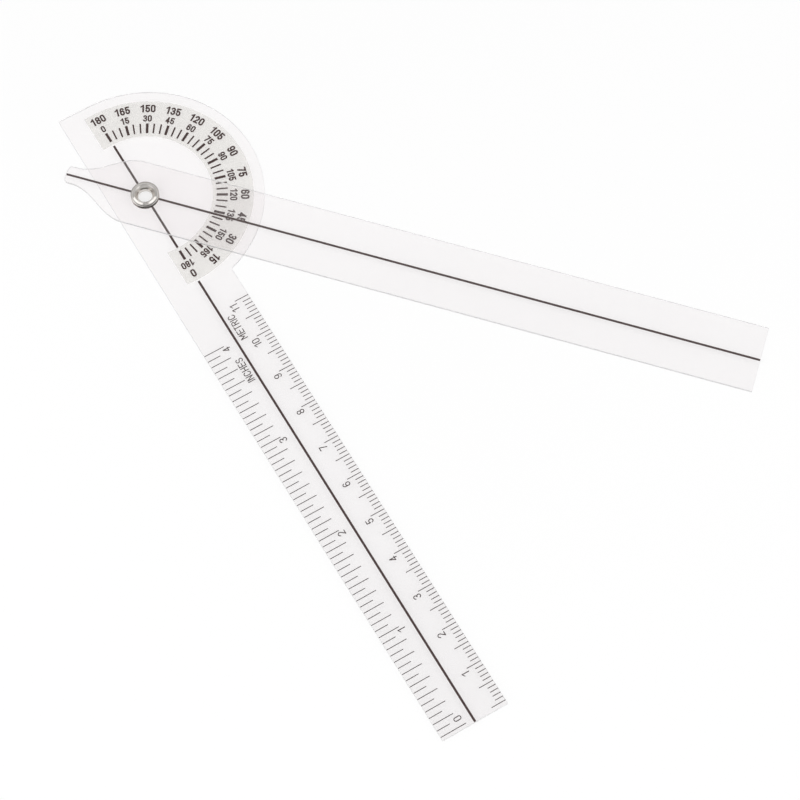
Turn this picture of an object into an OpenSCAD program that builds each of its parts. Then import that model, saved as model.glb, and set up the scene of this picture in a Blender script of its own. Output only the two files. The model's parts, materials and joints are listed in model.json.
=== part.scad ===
// Clear plastic goniometer for joint angles: a protractor arm, a moving arm and the eyelet they turn on.
// The origin is on the pivot axis at the upper face of the protractor arm.
// +X runs along the protractor arm, +Y towards the protractor's curved edge, and +Z up.
// All printing lies between the two arms: on top of the protractor arm and under the moving arm.

/* [Sheet] */
// Thickness of each arm
sheet_t = 0.6; // [0.5:0.05:1]
// Height of the gap between the two arms
arm_gap = 0.1; // [0.1:0.01:0.2]
// Thickness of the printed ink
ink_t = 0.03; // [0.02:0.01:0.03]

/* [Protractor arm] */
// Distance from the pivot to the arm's far end
base_reach = 144.7; // [140:0.1:160]
// Width of the protractor arm
base_w = 16; // [15:0.1:17]
// Radius of the protractor's curved edge
head_r = 27.3; // [26:0.1:30]
// Radius of the fillet where the curved edge meets the arm
head_fillet_r = 0.8; // [0.4:0.1:1.5]

/* [Moving arm] */
// Distance from the pivot to the moving arm's far end
moving_reach = 144.1; // [140:0.1:160]
// Width of the moving arm
moving_w = 16.2; // [15:0.1:17]
// Distance from the pivot to the end of the pointer
pointer_reach = 19; // [18.5:0.1:22]
// Width of the pointer's end
pointer_w = 4.3; // [3:0.1:5]
// Distance from the pivot to where the pointer starts to widen
pointer_taper_start = 17; // [16:0.1:17]
// Distance from the pivot to where the arm reaches its full width
pointer_taper_end = 3; // [2:0.1:5]
// Corner radius of the pointer's end
pointer_corner_r = 1; // [0.5:0.1:1.2]
// Angle of the moving arm, read from the +X side of the protractor
rest_angle = 42.6; // [0:0.1:180]

/* [Eyelet] */
// Inner radius of the eyelet
eyelet_bore_r = 1.6; // [1.5:0.05:1.75]
// Outer radius of the eyelet's barrel
barrel_r = 1.95; // [1.85:0.05:2]
// Radial clearance between the barrel and each arm
barrel_clearance = 0.05; // [0.03:0.01:0.1]
// Outer radius of the eyelet's domed head and of the washer
flange_r = 3.25; // [3:0.05:3.6]
// Height of the domed head
flange_h = 0.42; // [0.3:0.01:0.5]
// Thickness of the washer
washer_t = 0.2; // [0.15:0.05:0.3]
// Height of the barrel's rolled end
curl_h = 0.25; // [0.2:0.01:0.3]
// Outer radius of the barrel's rolled end
curl_r = 2.55; // [2.4:0.05:2.8]

/* [Protractor print] */
// Inner radius of the grey band
band_inner_r = 15.5; // [15:0.1:16]
// Outer radius of the grey band
band_outer_r = 24.8; // [24:0.1:25.5]
// How far the band runs past the centre line
band_drop = 2.6; // [1:0.1:4]
// Radius where the degree marks start
degree_inner_r = 16.35; // [16:0.05:17]
// Length of a degree mark
degree_mark_l = 2.55; // [2:0.05:3]
// Width of a mark at a numbered angle
degree_major_w = 0.6; // [0.4:0.05:0.8]
// Width of a mark between the numbers
degree_minor_w = 0.36; // [0.2:0.01:0.4]
// Radius of the middle of the outer numbers
outer_numbers_r = 22.85; // [22.5:0.05:23]
// Height of the outer numbers
outer_digit_h = 2; // [1.8:0.05:2.1]
// Radius of the middle of the inner numbers
inner_numbers_r = 20.25; // [20:0.05:20.5]
// Height of the inner numbers
inner_digit_h = 1.7; // [1.5:0.05:1.8]
// Width of the centre lines
centre_line_w = 0.52; // [0.3:0.01:0.6]

/* [Centimetre scale] */
// Distance from the pivot to the centimetre scale's zero
cm_zero_x = 143.8; // [143:0.1:144]
// Length of the scale in millimetres
cm_scale_l = 110; // [90:10:110]
// Width of a fine scale mark
scale_mark_w = 0.17; // [0.15:0.01:0.3]
// Length of a 1 mm mark
mm_mark_l = 1.95; // [1.5:0.05:2.2]
// Length of a 5 mm mark
cm_mark_l = 3.45; // [3:0.05:3.6]

/* [Inch scale] */
// Distance from the pivot to the inch scale's zero
inch_zero_x = 143.9; // [143:0.1:144]
// Length of the scale in inches
inch_scale_l = 4; // [3:1:4]
// Length of a 1/16 inch mark
sixteenth_mark_l = 3.15; // [2.5:0.05:3.5]
// Length of a 1/8 inch mark
eighth_mark_l = 4.9; // [4:0.05:5.5]
// Length of the zero mark
inch_zero_mark_l = 6.15; // [5.5:0.05:6.5]

/* [Scale lettering] */
// Height of the scale numbers
scale_digit_h = 1.8; // [1.5:0.05:2]
// Height of the unit words
word_h = 1.75; // [1.5:0.05:2]

/* [Hidden] */
$fn = 96;

base_z = -sheet_t;
moving_z = arm_gap;
moving_top_z = moving_z + sheet_t;
flange_clearance = 0.05;
flange_z = moving_top_z + flange_clearance;
washer_z = base_z - washer_t;
arm_hole_r = barrel_r + barrel_clearance;
base_half_w = base_w / 2;
moving_half_w = moving_w / 2;
pointer_half_w = pointer_w / 2;

// Steps along each side of the pointer's taper and round each of its corners
taper_steps = 24;
corner_steps = 6;

// Angles in degrees
degree_step = 5;
numbered_step = 15;
half_turn = 180;

// Gaps that the centre lines leave for the eyelet and the grey band
line_eyelet_gap = flange_r + 0.05;
line_band_gap = 0.4;

// Lettering proportions, as shares of the letter height
bold = 0.19;
light = 0.115;
digit_w = 0.56;
digit_gap = 0.07;
word_letter_w = 0.57;
word_letter_gap = 0.13;
wide_letter = 1.25;
arc_steps = 10;

inch = 25.4;
cm = 10;
edge_margin = 0.05;
number_margin = 0.35;
inch_zero_number_margin = 1.3;
cm_numbers_y = 3.75;
inch_numbers_y = -2.85;
metric_word_x = 39.7;
metric_word_y = 1.9;
inches_word_x = 49.7;
inches_word_y = -1.8;
eps = 0.01;

acrylic_colour = [0.93, 0.93, 0.94, 0.35];
band_colour = [0.80, 0.80, 0.78, 0.5];
ink_colour = [0.16, 0.14, 0.14];
nickel_colour = [0.72, 0.70, 0.67];

// ---- Outlines ----

// Points along an elliptical arc
function arc(cx, cy, rx, ry, from, to, steps = arc_steps) = [
    for (i = [0:steps])
        let (a = from + (to - from) * i / steps)
            [cx + rx * cos(a), cy + ry * sin(a)]
];

// Half the moving arm's width at a share of the way along the pointer's taper
function taper_half_w(share) =
    pointer_half_w + (moving_half_w - pointer_half_w) * (1 - cos(half_turn * share)) / 2;

// One side of the moving arm, from the pointer's end to the far end
function moving_side() = concat(
    arc(pointer_corner_r - pointer_reach, pointer_half_w - pointer_corner_r,
        pointer_corner_r, pointer_corner_r, half_turn, half_turn / 2, corner_steps),
    [
        for (i = [0:taper_steps])
            let (share = i / taper_steps)
                [-pointer_taper_start + (pointer_taper_start - pointer_taper_end) * share,
                 taper_half_w(share)]
    ],
    [[moving_reach, moving_half_w]]
);

function flip_y(points) = [for (i = [len(points) - 1:-1:0]) [points[i].x, -points[i].y]];

// The half disc of the protractor, carried down to the middle of the arm's lower half
module head_disc() {
    intersection() {
        circle(r = head_r, $fn = 240);
        translate([-head_r, -base_half_w / 2])
            square([2 * head_r, head_r + base_half_w / 2]);
    }
}

// Fills the corner between the curved edge and the arm, as far as an arc that touches both.
// Its other corners lie inside the arm.
module head_fillet() {
    centre_y = base_half_w + head_fillet_r;
    centre_x = sqrt(pow(head_r + head_fillet_r, 2) - pow(centre_y, 2));
    edge = arc(centre_x, centre_y, head_fillet_r, head_fillet_r, half_turn + atan2(centre_y, centre_x),
               1.5 * half_turn);
    inner_y = base_half_w - head_fillet_r;
    polygon(concat(edge, [[centre_x, inner_y], [edge[0].x - head_fillet_r, inner_y]]));
}

module moving_outline() {
    side = moving_side();
    polygon(concat(side, flip_y(side)));
}

// Gives each outline the sheet's thickness on its own, so that overlapping ones join into one solid
module sheet() {
    for (i = [0:$children - 1])
        linear_extrude(height = sheet_t)
            children(i);
}

// Gives an outline the thickness of printed ink
module ink() {
    linear_extrude(height = ink_t)
        children();
}

// ---- Lettering ----

// Unit vector from one point to the next
function direction(a, b) = (b - a) / norm(b - a);

// Sideways step at a point of a stroke, mitred where the stroke bends
function side_step(points, i, half_w) =
    let (
        last = len(points) - 1,
        before = direction(points[max(i - 1, 0)], points[max(i, 1)]),
        after = direction(points[min(i, last - 1)], points[min(i + 1, last)]),
        mean = before + after,
        normal = [-mean.y, mean.x] / norm(mean)
    )
        normal * half_w / (normal * [-after.y, after.x]);

// Points of a stroke with both ends carried on by half the stroke's width
function carried_on(points, half_w) =
    let (
        last = len(points) - 1,
        start = points[0] - direction(points[0], points[1]) * half_w,
        end = points[last] + direction(points[last - 1], points[last]) * half_w
    )
        concat([start], [for (i = [1:1:last - 1]) points[i]], [end]);

// A stroke of even width through a list of points
module stroke(points, width) {
    half_w = width / 2;
    line = carried_on(points, half_w);
    ink()
        polygon(concat(
            [for (i = [0:len(line) - 1]) line[i] + side_step(line, i, half_w)],
            [for (i = [len(line) - 1:-1:0]) line[i] - side_step(line, i, half_w)]
        ));
}

// An upright closed loop with round ends, centred on a point
module loop(cx, cy, rx, ry, width) {
    end = min(rx, ry);
    ink()
        difference() {
            loop_fill(cx, cy, rx + width / 2, ry + width / 2, end + width / 2);
            loop_fill(cx, cy, rx - width / 2, ry - width / 2, end - width / 2);
        }
}

module loop_fill(cx, cy, rx, ry, end) {
    polygon(concat(
        arc(cx, cy + ry - end, rx, end, 0, half_turn),
        arc(cx, cy - ry + end, rx, end, half_turn, 2 * half_turn)
    ));
}

// One character, centred on the origin. Its strokes' middles run in a box w wide and h high.
module glyph(character, w, h, width) {
    l = -w / 2;
    r = w / 2;
    b = -h / 2;
    t = h / 2;
    bowl = h * 0.29;
    if (character == "0") {
        loop(0, 0, r, t, width);
    } else if (character == "1") {
        stroke([[w * 0.28, b], [w * 0.28, t]], width);
        stroke([[w * 0.22, t - width * 0.1], [-w * 0.4, t - h * 0.22]], width * 0.8);
    } else if (character == "2") {
        stroke(concat(arc(0, t - bowl, r, bowl, 165, -25), [[l, b]]), width);
        stroke([[l, b], [r, b]], width);
    } else if (character == "3") {
        stroke(arc(0, h * 0.26, r * 0.95, h * 0.24, 160, -90), width);
        stroke(arc(0, -h * 0.24, r, h * 0.26, 90, -160), width);
    } else if (character == "4") {
        stroke([[w * 0.2, t], [l, -h * 0.22]], width);
        stroke([[l, -h * 0.22], [r, -h * 0.22]], width);
        stroke([[w * 0.22, b], [w * 0.22, t]], width);
    } else if (character == "5") {
        stroke([[r * 0.9, t], [l * 0.8, t]], width);
        stroke([[l * 0.8, t], [l * 0.9, h * 0.03]], width);
        stroke(arc(0, -h * 0.19, r, h * 0.31, 140, -160), width);
    } else if (character == "6") {
        loop(0, b + bowl, r, bowl, width);
        stroke(concat([[l * 0.96, b + bowl]], arc(0, t - bowl, r * 0.96, bowl, half_turn, 25)), width);
    } else if (character == "7") {
        stroke([[l, t], [r, t]], width);
        stroke([[r, t], [-w * 0.15, b]], width);
    } else if (character == "8") {
        loop(0, h * 0.25, r * 0.92, h * 0.25, width);
        loop(0, -h * 0.24, r, h * 0.26, width);
    } else if (character == "9") {
        rotate(half_turn)
            glyph("6", w, h, width);
    } else if (character == "C") {
        stroke(concat(arc(0, t - bowl, r, bowl, 10, half_turn),
                      arc(0, b + bowl, r, bowl, half_turn, 350)), width);
    } else if (character == "E") {
        stroke([[l, b], [l, t]], width);
        for (y = [b, 0, t])
            stroke([[l, y], [r, y]], width);
    } else if (character == "H") {
        for (x = [l, r])
            stroke([[x, b], [x, t]], width);
        stroke([[l, 0], [r, 0]], width);
    } else if (character == "I") {
        stroke([[0, b], [0, t]], width);
    } else if (character == "M") {
        for (x = [l, r])
            stroke([[x, b], [x, t]], width);
        stroke([[l, t], [0, b * 0.3]], width);
        stroke([[0, b * 0.3], [r, t]], width);
    } else if (character == "N") {
        for (x = [l, r])
            stroke([[x, b], [x, t]], width);
        stroke([[l, t], [r, b]], width);
    } else if (character == "R") {
        stroke([[l, b], [l, t]], width);
        stroke(concat([[l, t]],
                      arc(r - h * 0.23, t - h * 0.23, h * 0.23, h * 0.23, 90, -90),
                      [[l, h * 0.04]]), width);
        stroke([[0, h * 0.04], [r, b]], width);
    } else if (character == "S") {
        stroke(concat(arc(0, h * 0.25, r, h * 0.25, 20, 265),
                      arc(0, -h * 0.25, r, h * 0.25, 85, -160)), width);
    } else if (character == "T") {
        stroke([[0, b], [0, t]], width);
        stroke([[l, t], [r, t]], width);
    }
}

// Width of one character: I is only a stroke wide and M is wider than the rest
function character_w(character, letter_w, stroke_w) =
    character == "I" ? stroke_w : character == "M" ? letter_w * wide_letter : letter_w;

// Width of the first characters of a row, with a gap after each
function row_w(characters, count, letter_w, gap, stroke_w) =
    count == 0 ? 0 : row_w(characters, count - 1, letter_w, gap, stroke_w)
        + character_w(characters[count - 1], letter_w, stroke_w) + gap;

// A row of characters centred on the origin. Their full height is h, and the other sizes are shares of it.
module lettering(characters, h, letter_w, gap, weight) {
    stroke_w = h * weight;
    full_w = row_w(characters, len(characters), letter_w, gap, weight) - gap;
    for (i = [0:len(characters) - 1]) {
        w = character_w(characters[i], letter_w, weight);
        translate([h * (row_w(characters, i, letter_w, gap, weight) + w / 2 - full_w / 2), 0])
            glyph(characters[i], h * w - stroke_w, h - stroke_w, stroke_w);
    }
}

module bold_number(value, h) {
    lettering(str(value), h, digit_w, digit_gap, bold);
}

// A number beside a scale mark, read from the +Y side, with its last digit nearest the mark
module scale_number(value, margin) {
    full_w = scale_digit_h * row_w(str(value), len(str(value)), digit_w, digit_gap, light);
    translate([margin + full_w / 2, 0])
        rotate(half_turn)
            lettering(str(value), scale_digit_h, digit_w, digit_gap, light);
}

module unit_word(word) {
    rotate(half_turn)
        lettering(word, word_h, word_letter_w, word_letter_gap, light);
}

// Numbers round the protractor, each read from outside its curved edge
module angle_numbers(r, h, reversed) {
    for (a = [0:numbered_step:half_turn])
        rotate(a - half_turn / 2)
            translate([0, r])
                bold_number(reversed ? half_turn - a : a, h);
}

// The hole for the eyelet's barrel, cut through a sheet that starts at z = 0
module arm_hole() {
    translate([0, 0, -eps])
        cylinder(r = arm_hole_r, h = sheet_t + 2 * eps);
}

// ---- Protractor arm ----

module base_arm() {
    color(acrylic_colour)
        translate([0, 0, base_z])
            difference() {
                sheet() {
                    translate([0, -base_half_w])
                        square([base_reach, base_w]);
                    translate([-head_r, -base_half_w])
                        square([2 * head_r, base_half_w]);
                    head_disc();
                    head_fillet();
                }
                arm_hole();
            }
}

module band_shape() {
    intersection() {
        difference() {
            circle(r = band_outer_r, $fn = 240);
            circle(r = band_inner_r, $fn = 240);
        }
        translate([-band_outer_r, -band_drop])
            square([2 * band_outer_r, band_drop + band_outer_r]);
    }
}

module protractor_band() {
    color(band_colour)
        ink()
            band_shape();
}

module degree_mark(a, width) {
    rotate(a)
        translate([degree_inner_r, -width / 2])
            square([degree_mark_l, width]);
}

// The marks and numbers on the band are printed over it
module over_band() {
    translate([0, 0, ink_t])
        children();
}

module degree_major_marks() {
    color(ink_colour)
        over_band()
            ink()
                for (a = [0:numbered_step:half_turn])
                    degree_mark(a, degree_major_w);
}

module degree_minor_marks() {
    color(ink_colour)
        over_band()
            ink()
                for (a = [0:degree_step:half_turn])
                    if (a % numbered_step != 0)
                        degree_mark(a, degree_minor_w);
}

module outer_angle_numbers() {
    color(ink_colour)
        over_band()
            angle_numbers(outer_numbers_r, outer_digit_h, false);
}

module inner_angle_numbers() {
    color(ink_colour)
        over_band()
            angle_numbers(inner_numbers_r, inner_digit_h, true);
}

// One stretch of a centre line
module line_stretch(from, to) {
    translate([from, -centre_line_w / 2])
        square([to - from, centre_line_w]);
}

module base_centre_line() {
    color(ink_colour)
        ink() {
            line_stretch(line_band_gap - band_inner_r, -line_eyelet_gap);
            line_stretch(line_eyelet_gap, band_inner_r - edge_margin);
            line_stretch(band_outer_r + line_band_gap, base_reach - edge_margin);
        }
}

// ---- Length scales ----

// A mark that runs in from a long edge of the protractor arm.
// It is the +Y edge if side is 1 and the -Y edge if side is -1.
module edge_mark(x, length, side) {
    y = side * (base_half_w - edge_margin);
    translate([x - scale_mark_w / 2, min(y, y - side * length)])
        square([scale_mark_w, length]);
}

module centimetre_marks() {
    color(ink_colour)
        ink()
            for (mm = [0:cm_scale_l])
                edge_mark(cm_zero_x - mm, mm % 5 == 0 ? cm_mark_l : mm_mark_l, 1);
}

module centimetre_numbers() {
    color(ink_colour)
        for (n = [1:cm_scale_l / cm])
            translate([cm_zero_x - n * cm, cm_numbers_y])
                scale_number(n, number_margin);
}

module inch_marks() {
    color(ink_colour)
        ink()
            for (n = [0:16 * inch_scale_l])
                edge_mark(inch_zero_x - n * inch / 16,
                          n == 0 ? inch_zero_mark_l : n % 2 == 0 ? eighth_mark_l : sixteenth_mark_l, -1);
}

// The zero stands beyond its mark, and each other number before its own
module inch_numbers() {
    zero_margin = -scale_digit_h * digit_w - inch_zero_number_margin;
    color(ink_colour)
        for (n = [0:inch_scale_l])
            translate([inch_zero_x - n * inch, inch_numbers_y])
                scale_number(n, n == 0 ? zero_margin : number_margin);
}

module unit_words() {
    color(ink_colour) {
        translate([metric_word_x, metric_word_y])
            unit_word("METRIC");
        translate([inches_word_x, inches_word_y])
            unit_word("INCHES");
    }
}

// ---- Moving arm ----

module moving_arm() {
    color(acrylic_colour)
        rotate(rest_angle)
            translate([0, 0, moving_z])
                difference() {
                    sheet()
                        moving_outline();
                    arm_hole();
                }
}

// The index line is printed on the moving arm's underside, close to the protractor's marks
module moving_arm_line() {
    color(ink_colour)
        rotate(rest_angle)
            translate([0, 0, moving_z - ink_t])
                ink() {
                    line_stretch(edge_margin - pointer_reach, -line_eyelet_gap);
                    line_stretch(line_eyelet_gap, moving_reach - edge_margin);
                }
}

// ---- Eyelet ----

// A ring with a rounded face, whose flat side is at z = 0 and whose crown points up
module crowned_ring(inner_r, outer_r, h) {
    half_chord = (outer_r - inner_r) / 2;
    crown_r = (half_chord * half_chord + h * h) / (2 * h);
    rotate_extrude($fn = 120)
        intersection() {
            translate([inner_r + half_chord, h - crown_r])
                circle(r = crown_r);
            translate([inner_r, 0])
                square([2 * half_chord, h]);
        }
}

// The eyelet: a crowned head, a barrel through both arms and a rolled end under the washer
module eyelet() {
    color(nickel_colour) {
        difference() {
            translate([0, 0, washer_z])
                cylinder(r = barrel_r, h = flange_z - washer_z + eps);
            translate([0, 0, washer_z - eps])
                cylinder(r = eyelet_bore_r, h = flange_z - washer_z + 3 * eps);
        }
        translate([0, 0, flange_z])
            crowned_ring(eyelet_bore_r, flange_r, flange_h);
        translate([0, 0, washer_z])
            mirror([0, 0, 1])
                crowned_ring(eyelet_bore_r, curl_r, curl_h);
    }
}

module washer() {
    color(nickel_colour)
        translate([0, 0, washer_z])
            difference() {
                cylinder(r = flange_r, h = washer_t);
                translate([0, 0, -eps])
                    cylinder(r = barrel_r + eps, h = washer_t + 2 * eps);
            }
}

base_arm();
protractor_band();
degree_major_marks();
degree_minor_marks();
outer_angle_numbers();
inner_angle_numbers();
base_centre_line();
centimetre_marks();
centimetre_numbers();
inch_marks();
inch_numbers();
unit_words();
moving_arm();
moving_arm_line();
eyelet();
washer();
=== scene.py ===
"""Looks of the clear plastic goniometer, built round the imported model.

The two sheets, the eyelet and the washer are rebuilt here with rounded edges.
The printing keeps its own solids.
Lengths are in metres and angles in radians.
A name that ends in _MM holds millimetres, and one that ends in _DEG holds degrees.
"""

import json
import math

import bmesh
import bpy
from mathutils import Matrix, Vector
from mathutils.geometry import delaunay_2d_cdt


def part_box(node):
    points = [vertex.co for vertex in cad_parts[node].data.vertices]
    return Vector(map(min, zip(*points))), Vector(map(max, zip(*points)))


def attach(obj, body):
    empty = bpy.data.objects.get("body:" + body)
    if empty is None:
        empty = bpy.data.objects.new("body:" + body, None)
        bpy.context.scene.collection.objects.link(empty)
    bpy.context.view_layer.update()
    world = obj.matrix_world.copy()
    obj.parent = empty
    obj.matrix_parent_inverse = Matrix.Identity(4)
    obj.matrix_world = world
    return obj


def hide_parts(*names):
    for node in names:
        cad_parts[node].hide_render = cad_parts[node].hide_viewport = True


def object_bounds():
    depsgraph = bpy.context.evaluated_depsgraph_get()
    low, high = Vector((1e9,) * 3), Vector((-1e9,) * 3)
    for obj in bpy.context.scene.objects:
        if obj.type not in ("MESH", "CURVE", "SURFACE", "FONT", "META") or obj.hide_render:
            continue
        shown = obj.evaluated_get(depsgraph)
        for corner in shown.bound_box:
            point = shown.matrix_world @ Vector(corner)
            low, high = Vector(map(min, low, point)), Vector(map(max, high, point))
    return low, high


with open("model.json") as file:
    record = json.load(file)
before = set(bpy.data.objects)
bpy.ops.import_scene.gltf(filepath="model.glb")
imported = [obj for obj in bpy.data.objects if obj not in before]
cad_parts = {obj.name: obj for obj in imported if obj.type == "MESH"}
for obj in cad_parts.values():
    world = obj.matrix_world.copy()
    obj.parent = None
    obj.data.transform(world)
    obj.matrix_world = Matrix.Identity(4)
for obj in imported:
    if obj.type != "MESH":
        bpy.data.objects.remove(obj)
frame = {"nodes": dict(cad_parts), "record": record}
cad_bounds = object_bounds()

MM = 0.001

# Sheets
EDGE_R_MM = 0.07
CORNER_R_MM = 0.2
SUPPORT_MM = 0.12
INK_BITE_MM = 0.005
HOLE_R_MM = 2.0
HEAD_FILLET_R_MM = 0.8
EDGE_STEPS = 4
CORNER_STEPS = 5
HEAD_STEPS = 150
HOLE_STEPS = 72
HOLE_MARGIN = 0.999
STRONG_FACES = 100
INSIDE_ONLY = 1
WELD_DISTANCE = 0.0000001

# Moving arm, as it lies along its own length
REST_ANGLE = math.radians(42.6)
MOVING_REACH_MM = 144.1
MOVING_HALF_W_MM = 8.1
POINTER_REACH_MM = 19
POINTER_HALF_W_MM = 2.15
POINTER_CORNER_R_MM = 1
TAPER_START_MM = 17
TAPER_END_MM = 3
TAPER_STEPS = 40

# Eyelet and washer
BORE_R_MM = 1.6
BARREL_R_MM = 1.95
CROWN_R_MM = 2.36
CROWN_ROUND_MM = 0.12
CROWN_SLOPE_DEG = 33
CROWN_FOOT_R_MM = 2.86
THROAT_SLOPE_DEG = 56
FLANGE_W_MM = 0.36
FLANGE_H_MM = 0.1
FLANGE_START_DEG = 104
HEAD_LIP_MM = 0.05
THROAT_LIP_MM = 0.1
CURL_R_MM = 2.55
CURL_H_MM = 0.25
WASHER_EDGE_MM = 0.05
WASHER_GAP_MM = 0.0125
TURN_STEPS = 120
THROAT_STEPS = 6
CROWN_STEPS = 8
FLANGE_STEPS = 12
LIP_STEPS = 4
CURL_STEPS = 20
SHARP_ANGLE = math.radians(40)

# Materials: each pair of colours is the darkest and the lightest that the material varies between
PLASTIC_COLOURS = ((0.957, 0.939, 0.942), (0.968, 0.952, 0.954))
CUT_EDGE_COLOURS = ((0.86, 0.85, 0.855), (0.92, 0.91, 0.915))
BAND_COLOURS = ((0.86, 0.84, 0.79), (0.91, 0.89, 0.84))
DARK_INK_COLOURS = ((0.070, 0.044, 0.042), (0.100, 0.067, 0.063))
SCALE_INK_COLOURS = ((0.075, 0.056, 0.054), (0.11, 0.086, 0.084))
NICKEL_COLOURS = ((0.66, 0.63, 0.60), (0.76, 0.73, 0.70))
FLOOR_COLOURS = ((0.45, 0.45, 0.45), (0.46, 0.46, 0.46))
PLASTIC_IOR = 1.49
NOISE_LOW = 0.3
NOISE_HIGH = 0.7
INK_NOISE_HIGH = 0.75
NOISE_ROUGHNESS = 0.55

# Camera and light
CAMERA_PLACE = Vector((0.27319, -0.09465, 0.52763))
CAMERA_AIM = Vector((0.07345, 0.024, 0))
CAMERA_LENS_MM = 117.76
CAMERA_SENSOR_MM = 36
FLOOR_SIDE = 4
FLOOR_GLOW = 0.625
SOFTBOX_REACH = 1
SOFTBOX_TURN = math.radians(70)
SOFTBOX_TILT = math.radians(50)
SOFTBOX_WIDTH = 1.2
SOFTBOX_WATTS = 3.3
FLOOR_GAP = 0.00001

# The world's light, as pairs of height above the horizon and brightness
SKY_STEPS = (
    (0, 0.7),
    (0.5, 0.5),
    (0.82, 0.46),
    (0.865, 1),
    (0.882, 0.95),
    (0.9, 0.55),
    (0.925, 0.45),
    (0.96, 0.1),
)


# ---- Outlines, in millimetres ----

def arc(centre, radius, start, end, steps):
    """Points along an arc, with its angles in degrees."""
    points = []
    for i in range(steps + 1):
        angle = math.radians(start + (end - start) * i / steps)
        points.append(Vector((centre[0] + radius * math.cos(angle), centre[1] + radius * math.sin(angle))))
    return points


def protractor_outline():
    """The protractor arm's edge, anticlockwise, with its sizes from the frame."""
    low, high = [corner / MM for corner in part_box("base_arm")]
    head_r = high.y
    half_w = -low.y
    fillet_y = half_w + HEAD_FILLET_R_MM
    fillet_x = math.sqrt((head_r + HEAD_FILLET_R_MM) ** 2 - fillet_y ** 2)
    meet = math.degrees(math.atan2(fillet_y, fillet_x))
    inset = CORNER_R_MM
    return (
        arc((high.x - inset, inset - half_w), inset, -90, 0, CORNER_STEPS)
        + arc((high.x - inset, half_w - inset), inset, 0, 90, CORNER_STEPS)
        + arc((fillet_x, fillet_y), HEAD_FILLET_R_MM, 270, 180 + meet, 2 * CORNER_STEPS)
        + arc((0, 0), head_r, meet, 180, HEAD_STEPS)[1:]
        + arc((inset - head_r, inset - half_w), inset, 180, 270, CORNER_STEPS)
    )


def moving_outline():
    """The moving arm's edge, anticlockwise, along +X."""
    corner_x = MOVING_REACH_MM - CORNER_R_MM
    corner_y = MOVING_HALF_W_MM - CORNER_R_MM
    upper = arc((corner_x, corner_y), CORNER_R_MM, 0, 90, CORNER_STEPS)
    for i in range(TAPER_STEPS + 1):
        share = i / TAPER_STEPS
        x = -TAPER_END_MM - (TAPER_START_MM - TAPER_END_MM) * share
        widening = (1 + math.cos(math.pi * share)) / 2
        upper.append(Vector((x, POINTER_HALF_W_MM + (MOVING_HALF_W_MM - POINTER_HALF_W_MM) * widening)))
    tip = (POINTER_CORNER_R_MM - POINTER_REACH_MM, POINTER_HALF_W_MM - POINTER_CORNER_R_MM)
    upper += arc(tip, POINTER_CORNER_R_MM, 90, 180, CORNER_STEPS)
    return upper + [Vector((p.x, -p.y)) for p in reversed(upper)]


# ---- Meshes ----

def inward(points):
    """For each point of a closed outline, the step to the left that moves both its sides in by 1."""
    steps = []
    for i, point in enumerate(points):
        before = (point - points[i - 1]).normalized()
        after = (points[(i + 1) % len(points)] - point).normalized()
        middle = (before + after).normalized()
        steps.append(Vector((-middle.y, middle.x)) / middle.dot(after))
    return steps


def edge_profile(low, high):
    """(inset, height) pairs up a sheet's rounded edge, with a flat strip on each face beside it."""
    lower = [(EDGE_R_MM + SUPPORT_MM, low)]
    for i in range(EDGE_STEPS + 1):
        turn = math.radians(90 * i / EDGE_STEPS)
        lower.append((EDGE_R_MM * (1 - math.sin(turn)), low + EDGE_R_MM * (1 - math.cos(turn))))
    return lower + [(inset, low + high - height) for inset, height in reversed(lower)]


def add_wall(mesh, outline, profile):
    """Adds one closed wall, and returns its lowest and its highest ring of vertices.

    Its faces have the second material, apart from the flat strips at its two ends.
    """
    steps = inward(outline)
    rings = []
    for inset, height in profile:
        places = [point + step * inset for point, step in zip(outline, steps)]
        rings.append([mesh.verts.new((p.x * MM, p.y * MM, height * MM)) for p in places])
    levels = list(zip(rings, rings[1:]))
    for lower, upper in levels:
        flat = (lower, upper) in (levels[0], levels[-1])
        for i in range(len(lower)):
            face = mesh.faces.new((lower[i - 1], lower[i], upper[i], upper[i - 1]))
            face.material_index = 0 if flat else 1
    return rings[0], rings[-1]


def loop_sides(first, count):
    """The sides of a closed loop, as pairs of places in a list where the loop's points follow each other."""
    return [(first + (i - 1) % count, first + i) for i in range(count)]


def fill_between(mesh, outer_ring, hole_ring):
    """Fills a flat face between its outline and a round hole at the origin."""
    ring = outer_ring + hole_ring
    places = [vert.co.xy for vert in ring]
    sides = loop_sides(0, len(outer_ring)) + loop_sides(len(outer_ring), len(hole_ring))
    hole_r = hole_ring[0].co.xy.length * math.cos(math.pi / len(hole_ring)) * HOLE_MARGIN
    for triangle in delaunay_2d_cdt(places, sides, [], INSIDE_ONLY, WELD_DISTANCE)[2]:
        middle = sum((places[i] for i in triangle), Vector((0, 0))) / 3
        if middle.length > hole_r:
            mesh.faces.new([ring[i] for i in triangle])


def finish_mesh(name, mesh):
    """Makes an object of the mesh, smooth apart from its sharp edges."""
    bmesh.ops.recalc_face_normals(mesh, faces=mesh.faces)
    for face in mesh.faces:
        face.smooth = True
    for edge in mesh.edges:
        edge.smooth = edge.calc_face_angle(0) < SHARP_ANGLE
    data = bpy.data.meshes.new(name)
    mesh.to_mesh(data)
    mesh.free()
    piece = bpy.data.objects.new(name, data)
    bpy.context.scene.collection.objects.link(piece)
    return piece


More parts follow.
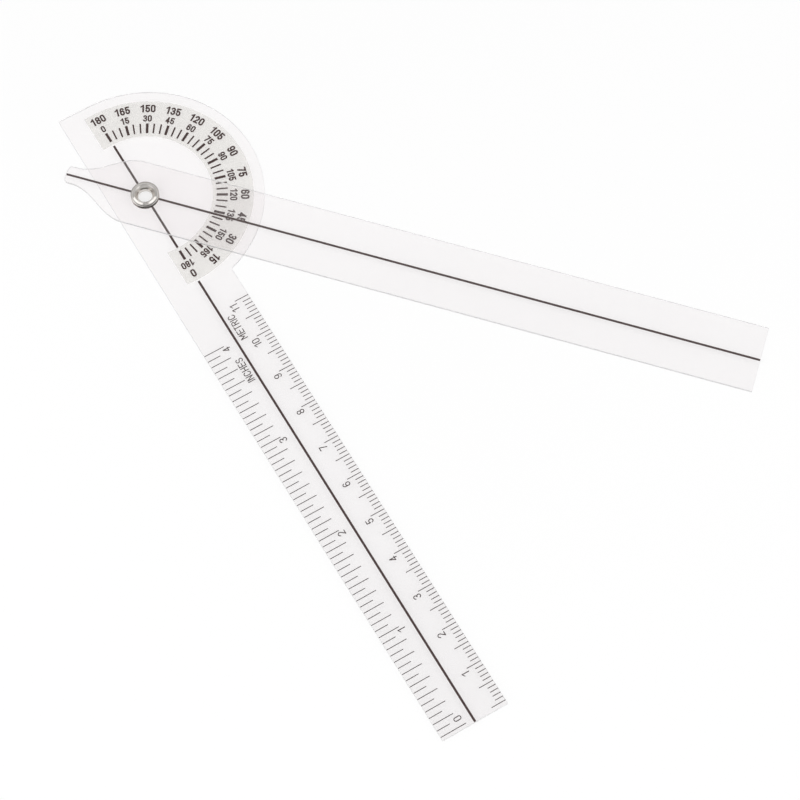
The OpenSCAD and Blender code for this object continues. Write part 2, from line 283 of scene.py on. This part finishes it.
def make_sheet(name, outline, low, high):
    """A sheet with rounded edges and the eyelet's hole."""
    mesh = bmesh.new()
    profile = edge_profile(low, high)
    hole = arc((0, 0), HOLE_R_MM, 360, 0, HOLE_STEPS)[:-1]
    outer_ends = add_wall(mesh, outline, profile)
    hole_ends = add_wall(mesh, hole, profile)
    for outer_ring, hole_ring in zip(outer_ends, hole_ends):
        fill_between(mesh, outer_ring, hole_ring)
    piece = finish_mesh(name, mesh)
    shading = piece.modifiers.new("flat_faces", "WEIGHTED_NORMAL")
    shading.weight = STRONG_FACES
    shading.keep_sharp = True
    return piece


def make_turned(name, profile):
    """A ring turned about the pivot from a closed profile of (radius, height) pairs."""
    mesh = bmesh.new()
    rings = []
    for i in range(TURN_STEPS):
        turn = 2 * math.pi * i / TURN_STEPS
        places = [(r * math.cos(turn), r * math.sin(turn), z) for r, z in profile]
        rings.append([mesh.verts.new(Vector(place) * MM) for place in places])
    for i in range(TURN_STEPS):
        for j in range(len(profile)):
            mesh.faces.new((rings[i - 1][j - 1], rings[i][j - 1], rings[i][j], rings[i - 1][j]))
    return finish_mesh(name, mesh)


def bend(centre, reach_r, reach_z, start, end, steps):
    """(radius, height) pairs along an elliptical arc, with its angles in degrees."""
    pairs = []
    for i in range(steps + 1):
        angle = math.radians(start + (end - start) * i / steps)
        pairs.append((centre[0] + reach_r * math.cos(angle), centre[1] + reach_z * math.sin(angle)))
    return pairs


def eyelet_profile():
    """Up the bore, over the head's sloping crown and its flange, down the barrel and round the rolled end."""
    low, high = [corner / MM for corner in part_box("eyelet")]
    head_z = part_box("moving_arm")[1].z / MM + HEAD_LIP_MM
    curl_z = low.z + CURL_H_MM
    fall = math.tan(math.radians(CROWN_SLOPE_DEG))
    crown_z = high.z - CROWN_ROUND_MM
    crown_at = (CROWN_R_MM, crown_z)
    crown_from = 90 + THROAT_SLOPE_DEG
    crown_to = 90 - CROWN_SLOPE_DEG
    crown = bend(crown_at, CROWN_ROUND_MM, CROWN_ROUND_MM, crown_from, crown_to, CROWN_STEPS)
    foot_z = crown[-1][1] - fall * (CROWN_FOOT_R_MM - crown[-1][0])
    lip_r = BORE_R_MM + THROAT_LIP_MM
    lip_z = crown[0][1] - math.tan(math.radians(THROAT_SLOPE_DEG)) * (crown[0][0] - lip_r) - THROAT_LIP_MM
    shoulder_z = head_z + HEAD_LIP_MM
    flange = (high.x - FLANGE_W_MM, shoulder_z)
    curl_middle = (BORE_R_MM + CURL_R_MM) / 2
    return (
        bend((lip_r, lip_z), THROAT_LIP_MM, THROAT_LIP_MM, 180, crown_from, THROAT_STEPS)
        + crown
        + [(CROWN_FOOT_R_MM, foot_z)]
        + bend(flange, FLANGE_W_MM, FLANGE_H_MM, FLANGE_START_DEG, 0, FLANGE_STEPS)
        + bend((high.x - HEAD_LIP_MM, shoulder_z), HEAD_LIP_MM, HEAD_LIP_MM, 0, -90, LIP_STEPS)[1:]
        + [(BARREL_R_MM, head_z), (BARREL_R_MM, curl_z)]
        + bend((curl_middle, curl_z), CURL_R_MM - curl_middle, CURL_H_MM, 0, -180, CURL_STEPS)
    )


def washer_profile():
    """Round a flat ring with four rounded edges, anticlockwise from its lower outer edge."""
    low, high = [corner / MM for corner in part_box("washer")]
    inner_r = BARREL_R_MM + WASHER_GAP_MM
    edge = WASHER_EDGE_MM
    return (
        bend((high.x - edge, low.z + edge), edge, edge, -90, 0, LIP_STEPS)
        + bend((high.x - edge, high.z - edge), edge, edge, 0, 90, LIP_STEPS)
        + bend((inner_r + edge, high.z - edge), edge, edge, 90, 180, LIP_STEPS)
        + bend((inner_r + edge, low.z + edge), edge, edge, 180, 270, LIP_STEPS)
    )


# ---- Materials ----

class Nodes:
    """A material's node tree, with short calls for the nodes that the materials share."""

    def __init__(self, name):
        self.material = bpy.data.materials.new(name)
        self.material.use_nodes = True
        self.tree = self.material.node_tree
        self.shader = self.tree.nodes["Principled BSDF"]
        self.output = self.tree.nodes["Material Output"]
        self.place = self.tree.nodes.new("ShaderNodeTexCoord").outputs["Object"]

    def add(self, kind, links=(), **values):
        """Adds a node. Each link is a socket and the output or the value that goes into it."""
        node = self.tree.nodes.new(kind)
        for key, value in values.items():
            setattr(node, key, value)
        for socket, source in links:
            if isinstance(source, bpy.types.NodeSocket):
                self.tree.links.new(source, node.inputs[socket])
            else:
                node.inputs[socket].default_value = source
        return node

    def noise(self, size, detail=3, stretch=(1, 1, 1)):
        """Even noise with features of a size in metres, drawn out by a factor along each axis."""
        scaled = self.add(
            "ShaderNodeMapping",
            [("Vector", self.place), ("Scale", [1 / (size * factor) for factor in stretch])],
        )
        texture = self.add(
            "ShaderNodeTexNoise",
            [("Vector", scaled.outputs[0]), ("Scale", 1), ("Detail", detail), ("Roughness", NOISE_ROUGHNESS)],
        )
        return texture.outputs["Fac"]

    def ramp(self, factor, colours, low=NOISE_LOW, high=NOISE_HIGH):
        """Blends from the first colour to the second as factor goes from low to high."""
        node = self.add("ShaderNodeValToRGB", [("Fac", factor)])
        for stop, place, colour in zip(node.color_ramp.elements, (low, high), colours):
            stop.position = place
            stop.color = (*colour, 1)
        return node.outputs["Color"]

    def spread(self, factor, low, high):
        """Takes a noise's usual range to the range from low to high."""
        ends = [("From Min", NOISE_LOW), ("From Max", NOISE_HIGH), ("To Min", low), ("To Max", high)]
        node = self.add("ShaderNodeMapRange", [("Value", factor), *ends])
        return node.outputs["Result"]

    def bump(self, height, depth):
        """Raises the surface by up to a depth in metres."""
        links = [("Height", height), ("Strength", 1), ("Distance", depth)]
        return self.add("ShaderNodeBump", links).outputs["Normal"]

    def set(self, **values):
        """Sets or links the shader's own sockets, named with _ for each space."""
        for key, value in values.items():
            socket = self.shader.inputs[key.replace("_", " ")]
            if isinstance(value, bpy.types.NodeSocket):
                self.tree.links.new(value, socket)
            else:
                socket.default_value = value


def let_lamps_through(nodes):
    """Lets lamp light and scattered light pass straight through clear plastic."""
    path = nodes.add("ShaderNodeLightPath")
    soft_ray = nodes.add(
        "ShaderNodeMath",
        [(0, path.outputs["Is Shadow Ray"]), (1, path.outputs["Is Diffuse Ray"])],
        operation="MAXIMUM",
    )
    open_way = nodes.add("ShaderNodeBsdfTransparent", [("Color", (1, 1, 1, 1))])
    mixed = nodes.add(
        "ShaderNodeMixShader",
        [("Fac", soft_ray.outputs[0]), (1, nodes.shader.outputs[0]), (2, open_way.outputs[0])],
    )
    nodes.tree.links.new(mixed.outputs[0], nodes.output.inputs["Surface"])


def clear_plastic(name):
    """Polished clear sheet with faint smudges, and hairline scratches along X."""
    nodes = Nodes(name)
    smudges = nodes.noise(size=0.018)
    hairlines = nodes.noise(size=0.0004, detail=2, stretch=(60, 1, 1))
    nodes.set(
        Base_Color=nodes.ramp(smudges, PLASTIC_COLOURS),
        Roughness=nodes.spread(smudges, low=0.015, high=0.05),
        Normal=nodes.bump(hairlines, depth=0.0000015),
        IOR=PLASTIC_IOR,
        Transmission_Weight=1,
    )
    let_lamps_through(nodes)
    return nodes.material


def cut_edge(name):
    """The sheets' cut edges, which look whiter than their faces and are less polished."""
    nodes = Nodes(name)
    saw = nodes.noise(size=0.0006)
    nodes.set(
        Base_Color=nodes.ramp(saw, CUT_EDGE_COLOURS),
        Roughness=nodes.spread(saw, low=0.35, high=0.55),
        Normal=nodes.bump(saw, depth=0.000004),
        IOR=PLASTIC_IOR,
        Transmission_Weight=0.35,
    )
    let_lamps_through(nodes)
    return nodes.material


def grey_band(name):
    """Translucent grey print with the faint unevenness of a screen."""
    nodes = Nodes(name)
    patches = nodes.noise(size=0.006)
    grain = nodes.noise(size=0.0003, detail=2)
    nodes.set(
        Base_Color=nodes.ramp(patches, BAND_COLOURS),
        Roughness=nodes.spread(grain, low=0.42, high=0.5),
        Normal=nodes.bump(grain, depth=0.0000015),
        Specular_IOR_Level=0.3,
        Alpha=0.24,
    )
    return nodes.material


def ink(name, colours):
    """Screen-printed ink: a warm near-black that is a little thin in places."""
    nodes = Nodes(name)
    density = nodes.noise(size=0.0009, detail=4)
    grain = nodes.noise(size=0.0001, detail=2)
    nodes.set(
        Base_Color=nodes.ramp(density, colours, high=INK_NOISE_HIGH),
        Roughness=nodes.spread(grain, low=0.4, high=0.55),
        Normal=nodes.bump(grain, depth=0.000003),
        Specular_IOR_Level=0.25,
    )
    return nodes.material


def nickel(name):
    """Smooth nickel plate, with a fine grain and the uneven dulling of a handled eyelet."""
    nodes = Nodes(name)
    tarnish = nodes.noise(size=0.0011, detail=4)
    grain = nodes.noise(size=0.00009)
    nodes.set(
        Base_Color=nodes.ramp(tarnish, NICKEL_COLOURS),
        Metallic=1,
        Roughness=nodes.spread(tarnish, low=0.12, high=0.2),
        Normal=nodes.bump(grain, depth=0.000003),
    )
    return nodes.material


def floor_white(name):
    """Matt floor lit mostly by its own white glow, so that it stays pale behind clear plastic."""
    nodes = Nodes(name)
    nodes.set(
        Base_Color=nodes.ramp(nodes.noise(size=0.2), FLOOR_COLOURS),
        Roughness=0.9,
        Specular_IOR_Level=0,
        Emission_Color=(1, 1, 1, 1),
        Emission_Strength=FLOOR_GLOW,
    )
    return nodes.material


def dress(piece, *materials):
    """Swaps a piece's materials. An empty list isn't cleared, because that resets which face has which."""
    if piece.data.materials:
        piece.data.materials.clear()
    for material in materials:
        piece.data.materials.append(material)


# ---- The object ----

def add_piece(piece, body, node, slot, *materials):
    """Dresses a piece, and puts it on its body in place of the CAD node that it shows."""
    dress(piece, *materials)
    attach(piece, body)
    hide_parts(node)


def build_sheets():
    plastic = clear_plastic("clear_plastic")
    edge = cut_edge("cut_edge")
    base_low, base_high = [corner.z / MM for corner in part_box("base_arm")]
    base = make_sheet("protractor_sheet", protractor_outline(), base_low, base_high + INK_BITE_MM)
    add_piece(base, "protractor", "base_arm", "clear_sheet", plastic, edge)
    arm_low, arm_high = [corner.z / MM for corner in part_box("moving_arm")]
    arm = make_sheet("moving_sheet", moving_outline(), arm_low - INK_BITE_MM, arm_high)
    arm.data.transform(Matrix.Rotation(REST_ANGLE, 4, "Z"))
    add_piece(arm, "arm", "moving_arm", "clear_sheet", plastic, edge)


def build_metal():
    plate = nickel("nickel_plate")
    add_piece(make_turned("eyelet_tube", eyelet_profile()), "protractor", "eyelet", "nickel", plate)
    add_piece(make_turned("washer_ring", washer_profile()), "protractor", "washer", "nickel", plate)


def dress_prints():
    """Gives every printed node the material of its slot in the record."""
    by_slot = {
        "grey_band": grey_band("grey_print"),
        "dark_ink": ink("dark_ink", DARK_INK_COLOURS),
        "scale_ink": ink("scale_ink", SCALE_INK_COLOURS),
    }
    for part in frame["record"]["subparts"]:
        if part["material_slot"] in by_slot:
            dress(frame["nodes"][part["node"]], by_slot[part["material_slot"]])


# ---- The studio ----

def build_floor():
    mesh = bmesh.new()
    bmesh.ops.create_grid(mesh, x_segments=1, y_segments=1, size=FLOOR_SIDE / 2)
    data = bpy.data.meshes.new("floor")
    mesh.to_mesh(data)
    mesh.free()
    floor = bpy.data.objects.new("floor", data)
    bpy.context.scene.collection.objects.link(floor)
    floor.location.z = cad_bounds[0].z - FLOOR_GAP
    dress(floor, floor_white("floor_white"))


def aim(thing, place, target):
    thing.location = place
    thing.rotation_euler = (target - place).to_track_quat("-Z", "Y").to_euler()


def build_camera():
    camera = bpy.data.objects.new("camera", bpy.data.cameras.new("camera"))
    camera.data.lens = CAMERA_LENS_MM
    camera.data.sensor_width = CAMERA_SENSOR_MM
    aim(camera, CAMERA_PLACE, CAMERA_AIM)
    bpy.context.scene.collection.objects.link(camera)
    bpy.context.scene.camera = camera


def build_softboxes():
    """A large round lamp on each side of the camera, so that the flat sheets mirror neither of them."""
    view = CAMERA_PLACE - CAMERA_AIM
    facing = math.atan2(view.y, view.x)
    for name, turn in (("left_softbox", -SOFTBOX_TURN), ("right_softbox", SOFTBOX_TURN)):
        light = bpy.data.objects.new(name, bpy.data.lights.new(name, "AREA"))
        light.data.shape = "DISK"
        light.data.size = SOFTBOX_WIDTH
        light.data.energy = SOFTBOX_WATTS
        side = Vector((math.cos(facing + turn), math.sin(facing + turn), 0)) * math.sin(SOFTBOX_TILT)
        away = side + Vector((0, 0, math.cos(SOFTBOX_TILT)))
        aim(light, CAMERA_AIM + away * SOFTBOX_REACH, CAMERA_AIM)
        bpy.context.scene.collection.objects.link(light)


def build_world():
    """Light from all round, whose brightness depends only on the height above the horizon."""
    world = bpy.data.worlds.new("studio")
    world.use_nodes = True
    tree = world.node_tree
    place = tree.nodes.new("ShaderNodeTexCoord")
    split = tree.nodes.new("ShaderNodeSeparateXYZ")
    ramp = tree.nodes.new("ShaderNodeValToRGB")
    tree.links.new(place.outputs["Generated"], split.inputs[0])
    tree.links.new(split.outputs["Z"], ramp.inputs["Fac"])
    tree.links.new(ramp.outputs["Color"], tree.nodes["Background"].inputs["Color"])
    stops = ramp.color_ramp.elements
    while len(stops) < len(SKY_STEPS):
        stops.new(1)
    for stop, (height, brightness) in zip(stops, SKY_STEPS):
        stop.position = height
        stop.color = (brightness, brightness, brightness, 1)
    bpy.context.scene.world = world


def build_studio():
    build_floor()
    build_softboxes()
    build_world()
    bpy.context.scene.view_settings.view_transform = "Standard"


build_camera()
build_sheets()
build_metal()
dress_prints()
build_studio()
